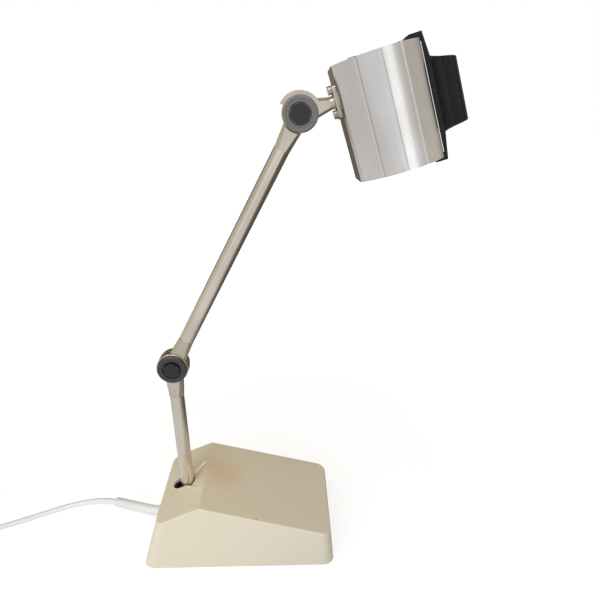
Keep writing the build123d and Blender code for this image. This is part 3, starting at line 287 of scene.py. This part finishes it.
def make_light():
    """A soft key from the front left, a small warm light high up, and a tall strip that
    only the metal mirrors."""
    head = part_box("head_shell")
    aim = (head[0] + head[1]) / 2
    softbox("strip_light", place=(0.54, -0.90, 0.40), aim=aim, size=(0.36, 0.9), power=0.55,
            colour=(1.0, 0.98, 0.95), lights=False)
    softbox("key_light", place=(-0.6, -1.05, 0.6), aim=(0, 0, 0.1), size=(0.9, 0.7), power=4.0,
            colour=(0.88, 1.0, 1.3), shines=False)
    softbox("high_light", place=(-0.25, -0.6, 1.25), aim=(0, 0, 0.05), size=(1.7, 0.15),
            power=6.2, colour=(1.0, 0.93, 0.78))
    bpy.context.scene.view_settings.view_transform = "Standard"
    bpy.context.scene.view_settings.look = "None"


# ---------------------------------------------------------------- shared shader groups
def new_group(name, inputs, outputs):
    """A shader group with named inputs and outputs, and its two end nodes."""
    group = bpy.data.node_groups.new(name, "ShaderNodeTree")
    for label, kind, value in inputs:
        socket = group.interface.new_socket(label, in_out="INPUT", socket_type=kind)
        socket.default_value = value
    for label, kind in outputs:
        group.interface.new_socket(label, in_out="OUTPUT", socket_type=kind)
    start = group.nodes.new("NodeGroupInput")
    end = group.nodes.new("NodeGroupOutput")
    return group, start, end


def add(tree, kind, **values):
    """Adds a node. A value named after a property sets it, and any other sets a socket."""
    node = tree.nodes.new(kind)
    for name, value in values.items():
        if hasattr(node, name):
            setattr(node, name, value)
        else:
            node.inputs[name.replace("_", " ")].default_value = value
    return node


def multiply(tree, first, second):
    """Multiplies a socket by another socket or by a number."""
    product = add(tree, "ShaderNodeMath", operation="MULTIPLY")
    tree.links.new(first, product.inputs[0])
    if isinstance(second, bpy.types.NodeSocket):
        tree.links.new(second, product.inputs[1])
    else:
        product.inputs[1].default_value = second
    return product.outputs[0]


def blend_colours(tree, factor, first, second):
    """Mixes two colours by a factor; each may be a socket or a colour."""
    mix = tree.nodes.new("ShaderNodeMix")
    mix.data_type = "RGBA"
    for socket, value in ((mix.inputs["Factor"], factor), (mix.inputs[6], first),
                          (mix.inputs[7], second)):
        if isinstance(value, bpy.types.NodeSocket):
            tree.links.new(value, socket)
        else:
            socket.default_value = value
    return mix.outputs[2]


def make_grain():
    """Fine moulded or cast grain: a height, and slow patches of shade."""
    group, start, end = new_group(
        "surface_grain",
        [("Grain Scale", "NodeSocketFloat", 900.0), ("Patch Scale", "NodeSocketFloat", 18.0)],
        [("Height", "NodeSocketFloat"), ("Patches", "NodeSocketFloat")])
    where = group.nodes.new("ShaderNodeTexCoord")
    fine = add(group, "ShaderNodeTexNoise", Detail=3.0, Roughness=0.6)
    slow = add(group, "ShaderNodeTexNoise", Detail=2.0, Roughness=0.5)
    for noise, scale in ((fine, "Grain Scale"), (slow, "Patch Scale")):
        group.links.new(where.outputs["Object"], noise.inputs["Vector"])
        group.links.new(start.outputs[scale], noise.inputs["Scale"])
    group.links.new(fine.outputs["Fac"], end.inputs["Height"])
    group.links.new(slow.outputs["Fac"], end.inputs["Patches"])
    return group


def make_brushing():
    """Fine lines along one direction: the stretch says how much longer than wide."""
    group, start, end = new_group(
        "brushed_lines",
        [("Turn", "NodeSocketVector", (0, 0, 0)), ("Stretch", "NodeSocketVector", (1, 1, 0.02)),
         ("Scale", "NodeSocketFloat", 2500.0)],
        [("Lines", "NodeSocketFloat")])
    where = group.nodes.new("ShaderNodeTexCoord")
    turn = add(group, "ShaderNodeMapping", vector_type="TEXTURE")
    stretch = add(group, "ShaderNodeMapping", vector_type="POINT")
    group.links.new(where.outputs["Object"], turn.inputs["Vector"])
    group.links.new(start.outputs["Turn"], turn.inputs["Rotation"])
    group.links.new(turn.outputs["Vector"], stretch.inputs["Vector"])
    group.links.new(start.outputs["Stretch"], stretch.inputs["Scale"])
    lines = add(group, "ShaderNodeTexNoise", Detail=2.0, Roughness=0.55)
    group.links.new(stretch.outputs["Vector"], lines.inputs["Vector"])
    group.links.new(start.outputs["Scale"], lines.inputs["Scale"])
    group.links.new(lines.outputs["Fac"], end.inputs["Lines"])
    return group


def make_scuffs():
    """Small sparse rubbed spots."""
    group, start, end = new_group(
        "rubbed_spots",
        [("Scale", "NodeSocketFloat", 260.0), ("Amount", "NodeSocketFloat", 0.5)],
        [("Wear", "NodeSocketFloat")])
    where = group.nodes.new("ShaderNodeTexCoord")
    noise = add(group, "ShaderNodeTexNoise", Detail=4.0, Roughness=0.65)
    group.links.new(where.outputs["Object"], noise.inputs["Vector"])
    group.links.new(start.outputs["Scale"], noise.inputs["Scale"])
    peaks = ramp(group, noise.outputs["Fac"], 0.62, 0.74, kind="LINEAR")
    group.links.new(multiply(group, peaks, start.outputs["Amount"]), end.inputs["Wear"])
    return group


def make_dust():
    """Thin dust on faces that look upwards."""
    group, start, end = new_group(
        "settled_dust",
        [("Scale", "NodeSocketFloat", 60.0), ("Amount", "NodeSocketFloat", 0.3)],
        [("Dust", "NodeSocketFloat")])
    shape = group.nodes.new("ShaderNodeNewGeometry")
    axes = group.nodes.new("ShaderNodeSeparateXYZ")
    group.links.new(shape.outputs["Normal"], axes.inputs[0])
    up = ramp(group, axes.outputs["Z"], 0.5, 1.0, kind="LINEAR")
    where = group.nodes.new("ShaderNodeTexCoord")
    noise = add(group, "ShaderNodeTexNoise", Detail=5.0)
    group.links.new(where.outputs["Object"], noise.inputs["Vector"])
    group.links.new(start.outputs["Scale"], noise.inputs["Scale"])
    specks = multiply(group, up, noise.outputs["Fac"])
    group.links.new(multiply(group, specks, start.outputs["Amount"]), end.inputs["Dust"])
    return group


GRAIN = make_grain()
BRUSHING = make_brushing()
SCUFFS = make_scuffs()
DUST = make_dust()


# ---------------------------------------------------------------- materials
def new_material(name):
    """An empty material, its nodes and its shader."""
    material = bpy.data.materials.new(name)
    material.use_nodes = True
    tree = material.node_tree
    return material, tree, tree.nodes["Principled BSDF"]


def use(tree, group, **values):
    """Places a shared group in a material, with this material's own values."""
    node = tree.nodes.new("ShaderNodeGroup")
    node.node_tree = group
    for name, value in values.items():
        node.inputs[name.replace("_", " ")].default_value = value
    return node


def spread(tree, mask, first, last, low=0.25, high=0.75):
    """Maps a mask to a range of values, with no hard outlines."""
    return ramp(tree, mask, low, high, first, last, kind="SMOOTHERSTEP")


def bump(tree, shader, height, strength, distance):
    """Feeds a height to the shader's normal."""
    node = tree.nodes.new("ShaderNodeBump")
    node.inputs["Strength"].default_value = strength
    node.inputs["Distance"].default_value = distance
    tree.links.new(height, node.inputs["Height"])
    tree.links.new(node.outputs["Normal"], shader.inputs["Normal"])


DUST_GREY = (0.55, 0.53, 0.5, 1)
CREAM = (0.79, 0.72, 0.545, 1)
CREAM_PALE = (0.81, 0.745, 0.58, 1)
CREAM_AGED = (0.76, 0.73, 0.66, 1)
CREAM_RUBBED = (0.95, 0.90, 0.78, 1)
STAIN_ORANGE = (0.78, 0.50, 0.26, 1)
CHIP_DARK = (0.05, 0.05, 0.03, 1)
UPPER_ARM_LEAN = 28                  # degrees
HEAD_LEAN = -16.85


def moulded(name, light, dark, roughness, grain=1200.0, relief=0.15, wear=None, dust=0.0,
            coat=0.0, gloss=0.5):
    """A moulded plastic or painted finish with grain, patches, rubbed spots and dust."""
    material, tree, shader = new_material(name)
    surface = use(tree, GRAIN, Grain_Scale=grain, Patch_Scale=14.0)
    colour = blend_colours(tree, spread(tree, surface.outputs["Patches"], 0, 1), dark, light)
    if wear:
        rubbed = use(tree, SCUFFS)
        colour = blend_colours(tree, rubbed.outputs["Wear"], colour, wear)
    if dust:
        settled = use(tree, DUST, Amount=dust)
        colour = blend_colours(tree, settled.outputs["Dust"], colour, DUST_GREY)
    tree.links.new(colour, shader.inputs["Base Color"])
    rough = spread(tree, surface.outputs["Patches"], roughness * 0.85, roughness * 1.15)
    tree.links.new(rough, shader.inputs["Roughness"])
    shader.inputs["Coat Weight"].default_value = coat
    shader.inputs["Specular IOR Level"].default_value = gloss
    bump(tree, shader, surface.outputs["Height"], relief, 0.05 * MM)
    return material


def metal(name, light, dark, roughness, turn=(0, 0, 0), stretch=(1, 1, 0.02), scale=2500.0,
          relief=0.1, wear=None, lines=0.5):
    """A satin metal with brushed lines along one direction and slow stains."""
    material, tree, shader = new_material(name)
    brushed = use(tree, BRUSHING, Turn=turn, Stretch=stretch, Scale=scale)
    surface = use(tree, GRAIN, Grain_Scale=1500.0, Patch_Scale=20.0)
    stain = blend_colours(tree, spread(tree, surface.outputs["Patches"], 0, 1), dark, light)
    streak = spread(tree, brushed.outputs["Lines"], 0, lines)
    colour = blend_colours(tree, streak, stain, dark)
    if wear:
        rubbed = use(tree, SCUFFS)
        colour = blend_colours(tree, rubbed.outputs["Wear"], colour, wear)
    tree.links.new(colour, shader.inputs["Base Color"])
    tree.links.new(spread(tree, brushed.outputs["Lines"], roughness * 0.8, roughness * 1.2),
                   shader.inputs["Roughness"])
    shader.inputs["Metallic"].default_value = 1.0
    bump(tree, shader, brushed.outputs["Lines"], relief, 0.02 * MM)
    return material


def near(tree, place, inner, outer):
    """A mask that is 1 at a place on the object and fades to 0 at the outer distance."""
    where = tree.nodes.new("ShaderNodeTexCoord")
    gap = tree.nodes.new("ShaderNodeVectorMath")
    gap.operation = "DISTANCE"
    tree.links.new(where.outputs["Object"], gap.inputs[0])
    gap.inputs[1].default_value = place
    return spread(tree, gap.outputs["Value"], 1.0, 0.0, inner, outer)


def cream_housing():
    """Old cream plastic: greyer towards the low end, a heat stain by the ridge, a chip."""
    material, tree, shader = new_material("cream_housing")
    low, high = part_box("base_housing")
    surface = use(tree, GRAIN, Grain_Scale=1400.0, Patch_Scale=9.0)
    cream = blend_colours(tree, surface.outputs["Patches"], CREAM, CREAM_PALE)
    aged = near(tree, (high.x, 0, high.z - 0.02), 0.02, 0.12)
    cream = blend_colours(tree, multiply(tree, aged, 0.45), cream, CREAM_AGED)
    stain = near(tree, (low.x + 0.066, 0.004, high.z - 0.003), 0.003, 0.03)
    colour = blend_colours(tree, multiply(tree, stain, 0.42), cream, STAIN_ORANGE)
    rubbed = use(tree, SCUFFS, Scale=90.0, Amount=0.25)
    colour = blend_colours(tree, rubbed.outputs["Wear"], colour, CREAM_RUBBED)
    chip = near(tree, (low.x + 0.1, low.y + 0.0042, high.z - 0.0134), 0.0003, 0.0009)
    colour = blend_colours(tree, chip, colour, CHIP_DARK)
    tree.links.new(colour, shader.inputs["Base Color"])
    tree.links.new(spread(tree, surface.outputs["Patches"], 0.285, 0.33, 0.0, 1.0),
                   shader.inputs["Roughness"])
    shader.inputs["Coat Weight"].default_value = 0.3
    shader.inputs["Coat Roughness"].default_value = 0.15
    bump(tree, shader, surface.outputs["Height"], 0.1, 0.03 * MM)
    return material


def clear_glass():
    """Clear glass, a plain shader with a little waviness."""
    material, tree, shader = new_material("clear_glass")
    surface = use(tree, GRAIN, Grain_Scale=120.0, Patch_Scale=20.0)
    shader.inputs["Base Color"].default_value = (0.93, 0.97, 0.96, 1)
    shader.inputs["Transmission Weight"].default_value = 1.0
    shader.inputs["IOR"].default_value = 1.5
    tree.links.new(spread(tree, surface.outputs["Patches"], 0.02, 0.06), shader.inputs["Roughness"])
    bump(tree, shader, surface.outputs["Height"], 0.05, 0.02 * MM)
    return material


def leaning(degrees):
    """The turn that lays brushed lines along a piece that leans this far from upright."""
    return (0, math.radians(degrees), 0)


def make_finishes():
    """One finish for each material slot of the record, and a paler copy of the cover finish that
    paints light onto the wrist covers.
    """
    return {
        "cream": cream_housing(),
        "zinc_steel": metal("zinc_steel", (0.62, 0.61, 0.58, 1), (0.42, 0.41, 0.38, 1), 0.38),
        "rubber_pad": moulded("rubber_pad", (0.05, 0.05, 0.05, 1), (0.03, 0.03, 0.03, 1), 0.8),
        "core_steel": metal("core_steel", (0.30, 0.29, 0.28, 1), (0.16, 0.15, 0.15, 1), 0.5,
                            stretch=(0.02, 0.02, 1), scale=1800.0, relief=0.4),
        "coil_wrap": moulded("coil_wrap", (0.78, 0.56, 0.12, 1), (0.62, 0.42, 0.08, 1), 0.4),
        "terminal_plastic": moulded("terminal_plastic", (0.88, 0.87, 0.82, 1),
                                    (0.8, 0.78, 0.7, 1), 0.45),
        "brass": metal("brass", (0.80, 0.62, 0.30, 1), (0.55, 0.40, 0.18, 1), 0.35),
        "black_plastic": moulded("black_plastic", (0.008, 0.008, 0.0092, 1),
                                 (0.006, 0.006, 0.007, 1), 0.33, grain=1600.0, relief=0.3,
                                 wear=(0.06, 0.06, 0.065, 1), dust=0.04, gloss=0.22),
        "nickel_tube": metal("nickel_tube", (0.87, 0.83, 0.77, 1), (0.68, 0.63, 0.55, 1), 0.2,
                             turn=leaning(UPPER_ARM_LEAN), scale=3000.0),
        "nickel_cast": metal("nickel_cast", (0.77, 0.73, 0.64, 1), (0.58, 0.52, 0.42, 1), 0.345,
                             stretch=(1, 1, 1), scale=900.0, wear=(0.9, 0.87, 0.78, 1)),
        "black_bolt": moulded("black_bolt", (0.030, 0.030, 0.031, 1), (0.016, 0.016, 0.017, 1),
                              0.33, wear=(0.08, 0.08, 0.09, 1), relief=0.3, gloss=0.35),
        "cover_plastic": moulded("cover_plastic", (0.050, 0.050, 0.055, 1),
                                 (0.034, 0.034, 0.038, 1), 0.33, wear=(0.16, 0.16, 0.17, 1),
                                 dust=0.1, gloss=0.6),
        # a paler copy of cover_plastic: painted light for the wrist covers, which stand in more
        # light
        "cover_plastic_painted_lit": moulded("cover_plastic_painted_lit", (0.20, 0.187, 0.180, 1),
                                       (0.15, 0.14, 0.134, 1), 0.4, wear=(0.34, 0.32, 0.31, 1),
                                       dust=0.2, gloss=0.4),
        "friction_fibre": moulded("friction_fibre", (0.33, 0.19, 0.1, 1),
                                  (0.22, 0.12, 0.06, 1), 0.8),
        "shell_aluminium": metal("shell_aluminium", (0.80, 0.78, 0.765, 1),
                                 (0.66, 0.635, 0.615, 1), 0.22, turn=leaning(HEAD_LEAN),
                                 scale=4200.0, stretch=(1, 1, 0.012), relief=0.25, lines=0.6),
        "lens_glass": clear_glass(),
        "reflector_coat": metal("reflector_coat", (0.86, 0.86, 0.9, 1), (0.7, 0.7, 0.78, 1), 0.12),
        "lamp_ceramic": moulded("lamp_ceramic", (0.88, 0.86, 0.8, 1), (0.8, 0.77, 0.7, 1), 0.6),
        "white_cord": moulded("white_cord", (0.87, 0.905, 0.90, 1), (0.80, 0.84, 0.835, 1), 0.35,
                              relief=0.1, coat=0.1),
    }


# ---------------------------------------------------------------- mains cord
# Lengths here are in millimetres until a curve or a mesh is made from them.
CORD_R = 2.5
SLEEVE_ROUTE = [(-72.0, 7.2, 12.6), (-83.0, 7.4, 12.6), (-90.0, 9.2, 12.45),
                (-108.0, 15.6, 11.7), (-126.0, 22.0, 11.0)]
SLEEVE_RADII = [4.7, 4.7, 4.6, 4.45, 4.3]
SLEEVE_RIM = 0.35
SLEEVE_RIM_DEPTH = 0.3
SLEEVE_MOUTH_WALL = 1.2
SLEEVE_MOUTH_DEPTH = 5.0
SLEEVE_SMOOTH_ANGLE = 50             # degrees
CORD_ROUTE = [
    (-126.0, 22.0, 11.0),
    (-141.0, 27.0, 8.6),
    (-157.0, 29.3, 4.7),
    (-173.5, 27.2, 2.7),
    (-190.5, 20.0, 2.5),
    (-209.0, 10.5, 2.5),
    (-229.0, 1.5, 2.5),
    (-249.0, -7.0, 2.5),
    (-268.0, -14.0, 2.5),
    (-280.0, -18.0, 2.5),
]
CORD_TAIL = [(-333.5, 17.0, 2.5), (-333.0, 31.0, 3.0), (-328.5, 45.5, 4.8), (-323.4, 60.0, 6.8)]
COIL_CENTRE = (-292.0, 16.0)
COIL_OUTER_R = 35.0
COIL_PITCH = 5.0
COIL_STEPS = 16
LAYER_TURNS = (3.0, 3.0, 2.5)
LAYERS = len(LAYER_TURNS)
CLIMB_STEPS = 4                      # to rise to the next layer
CROSSING_LAYERS = 3.1                # how high the cord crosses the coil, in layers
TIE_ANGLE = 40.0                     # degrees round the coil
TIE_WIDTH = 5.0
TIE_WALL = 0.8
TIE_SLACK = 2.4
TIE_SOFTNESS = 0.35

# The way off the coil, a step at a time: how far out from the last turn, and what share of
# the top height.
WAY_OFF = [(0, 0.45), (0.5, 0.9), (2.5, 1), (7, 1), (12, 1), (16, 1), (18.5, 0.95), (19.5, 0.85),
           (20, 0.7), (20, 0.52), (20, 0.36)]
OUTSIDE = 17                         # past this the cord comes down to the floor


def coil_points():
    """Three layers of turns, wound in, out and in again, and the way over the top."""
    points = []
    angle = -math.pi / 2
    step = 2 * math.pi / COIL_STEPS
    radius = COIL_OUTER_R
    for layer, turns in enumerate(LAYER_TURNS):
        way = -1 if layer % 2 == 0 else 1
        count = int(turns * COIL_STEPS)
        for number in range(count):
            climb = max(0.0, (number - count + CLIMB_STEPS) / CLIMB_STEPS)
            if layer == LAYERS - 1:
                climb = 0.0
            z = CORD_R + COIL_PITCH * (layer + climb)
            points.append((COIL_CENTRE[0] + radius * math.cos(angle),
                           COIL_CENTRE[1] + radius * math.sin(angle), z))
            angle -= step
            radius += way * COIL_PITCH / COIL_STEPS
    top = CORD_R + CROSSING_LAYERS * COIL_PITCH
    last_layer = CORD_R + (LAYERS - 1) * COIL_PITCH
    first_share = WAY_OFF[0][1]
    for out, share in WAY_OFF:
        risen = (share - first_share) / (1 - first_share)
        z = last_layer + (top - last_layer) * risen if out < OUTSIDE else top * share
        points.append((COIL_CENTRE[0] + (radius + out) * math.cos(angle),
                       COIL_CENTRE[1] + (radius + out) * math.sin(angle), z))
        angle -= step
    return points


def round_cord(name, points, radius, radii=None):
    """A smooth round cord along its control points, with each point's own share of the
    radius if it narrows."""
    data = bpy.data.curves.new(name, "CURVE")
    data.dimensions = "3D"
    spline = data.splines.new("NURBS")
    spline.points.add(len(points) - 1)
    for number, (x, y, z) in enumerate(points):
        spline.points[number].co = (x * MM, y * MM, z * MM, 1)
        spline.points[number].radius = radii[number] if radii else 1.0
    spline.order_u = 3
    spline.use_endpoint_u = True
    spline.resolution_u = 6
    data.bevel_depth = radius * MM
    data.bevel_resolution = 5
    data.use_fill_caps = True
    cord = bpy.data.objects.new(name, data)
    bpy.context.scene.collection.objects.link(cord)
    return cord


def make_cord():
    """The mains cord from the sleeve to the plug, its spare length wound into a coil."""
    points = CORD_ROUTE + coil_points() + CORD_TAIL
    cord = round_cord("mains_cord_run", points, CORD_R)
    paint(cord, FINISHES["white_cord"])
    return cord


def make_sleeve():
    """The strain relief: a soft tube that narrows away from the base, open at its end."""
    sleeve = round_cord("cord_relief", SLEEVE_ROUTE, 1, SLEEVE_RADII)
    choose(sleeve)
    bpy.ops.object.convert(target="MESH")
    end = Vector(SLEEVE_ROUTE[-1]) * MM
    before = Vector(SLEEVE_ROUTE[-2]) * MM
    along = (end - before).normalized()
    choose(sleeve)
    bpy.ops.object.mode_set(mode="EDIT")
    bpy.ops.mesh.select_all(action="SELECT")
    bpy.ops.mesh.remove_doubles(threshold=0.01 * MM)
    bpy.ops.mesh.dissolve_limited(angle_limit=math.radians(0.5))
    close()
    reach = SLEEVE_RADII[-1] * MM
    pick(sleeve, lambda face: face.normal.dot(along) > 0.9
         and (face.calc_center_median() - end).length < reach)
    bpy.ops.mesh.inset(thickness=SLEEVE_RIM * MM, depth=SLEEVE_RIM_DEPTH * MM)
    bpy.ops.mesh.inset(thickness=SLEEVE_MOUTH_WALL * MM)
    inwards = -along * SLEEVE_MOUTH_DEPTH * MM
    bpy.ops.mesh.extrude_region_move(TRANSFORM_OT_translate={"value": tuple(inwards)})
    close()
    smooth(sleeve, SLEEVE_SMOOTH_ANGLE)
    return sleeve


def make_tie():
    """A flat strap round the coil's turns, on the side away from the crossing."""
    centre = Vector((*COIL_CENTRE, 0)) * MM
    across = LAYER_TURNS[0] * COIL_PITCH
    middle = (COIL_OUTER_R - across / 2) * MM
    width = (across + TIE_SLACK) * MM
    height = (LAYERS * COIL_PITCH + TIE_WALL) * MM
    bpy.ops.mesh.primitive_cube_add(size=1, location=centre + Vector((middle, 0, height / 2)))
    tie = rename("coil_tie")
    bpy.ops.transform.resize(value=(width, TIE_WIDTH * MM, height))
    settle(tie)
    pick(tie, lambda face: abs(face.normal.y) > 0.9)
    bpy.ops.mesh.inset(thickness=TIE_WALL * MM)
    bpy.ops.mesh.bridge_edge_loops()
    close()
    round_edges(tie, TIE_SOFTNESS * MM)
    choose(tie)
    bpy.ops.transform.rotate(value=math.radians(-TIE_ANGLE), orient_axis="Z",
                             center_override=tuple(centre))
    settle(tie)
    smooth(tie)
    paint(tie, FINISHES["black_plastic"])
    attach(tie, "base")
    return tie


# ---------------------------------------------------------------- pieces from CAD forms
def soften(node, name, width, finish=None):
    """A piece with the node's form and rounded edges takes the node's place."""
    piece = bpy.data.objects.new(name, frame["nodes"][node].data.copy())
    bpy.context.scene.collection.objects.link(piece)
    choose(piece)
    if piece.data.has_custom_normals:
        bpy.ops.mesh.customdata_custom_splitnormals_clear()
    bpy.ops.object.mode_set(mode="EDIT")
    bpy.ops.mesh.select_mode(type="VERT")
    bpy.ops.mesh.select_all(action="SELECT")
    bpy.ops.mesh.remove_doubles(threshold=MERGE_GAP)
    bpy.ops.mesh.dissolve_limited(angle_limit=math.radians(FLAT_ANGLE))
    close()
    round_edges(piece, width)
    smooth(piece)
    even_out(piece)
    stands_for(piece, node, finish)


SOFT_EDGES = {
    # node: (piece, edge radius in mm)
    "base_housing": ("housing_shell", 0.5),
    "lower_tube": ("lower_arm_tube", 0.15),
    "upper_tube": ("upper_arm_tube", 0.15),
    "elbow_front_eye": ("elbow_front_casting", 0.35),
    "elbow_rear_eye": ("elbow_rear_casting", 0.35),
    "wrist_front_eye": ("neck_casting", 0.35),
    "wrist_rear_eye": ("wrist_rear_casting", 0.35),
    "elbow_front_cover": ("elbow_ring", 0.3),
    "wrist_front_cover": ("wrist_ring", 0.3),
    "elbow_rear_cover": ("elbow_cup", 0.3),
    "wrist_rear_cover": ("wrist_cup", 0.3),
    "elbow_bolt": ("elbow_hexagon", 0.3),
    "wrist_bolt": ("wrist_hexagon", 0.3),
    "head_shell": ("shade_extrusion", 0.15),
    "head_grip": ("finger_grip", 0.7),
    "heat_strip": ("heat_shield", 0.2),
    "plug_body": ("plug_moulding", 0.6),
    "head_bracket": ("neck_plate", 0.3),
    "head_bracket_screws": ("neck_plate_screws", 0.2),
    "vent_cap": ("vented_cap", 0.3),
    "lamp_bezel": ("glass_bezel", 0.3),
    "switch_body": ("switch_frame", 0.25),
    "switch_rocker": ("switch_key", 0.3),
}


# The covers beside the head get a paler copy of the cover finish: painted light, for the extra
# light that falls on them.
PAINTED_LIT_COVERS = {"wrist_ring": "cover_plastic_painted_lit", "wrist_cup": "cover_plastic_painted_lit"}


# ---------------------------------------------------------------- build
make_room()
make_floor()
make_camera()
make_light()
FINISHES = make_finishes()

for node, (name, width) in SOFT_EDGES.items():
    soften(node, name, width * MM, PAINTED_LIT_COVERS.get(name))

cord = make_cord()
sleeve = make_sleeve()
tie = make_tie()
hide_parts("mains_cord", "cord_coil")
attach(cord, "base")
stands_for(sleeve, "cord_sleeve")

# the CAD nodes that stay in view
for node, piece in frame["nodes"].items():
    if not piece.hide_render:
        paint(piece, FINISHES[slot_of(node)])
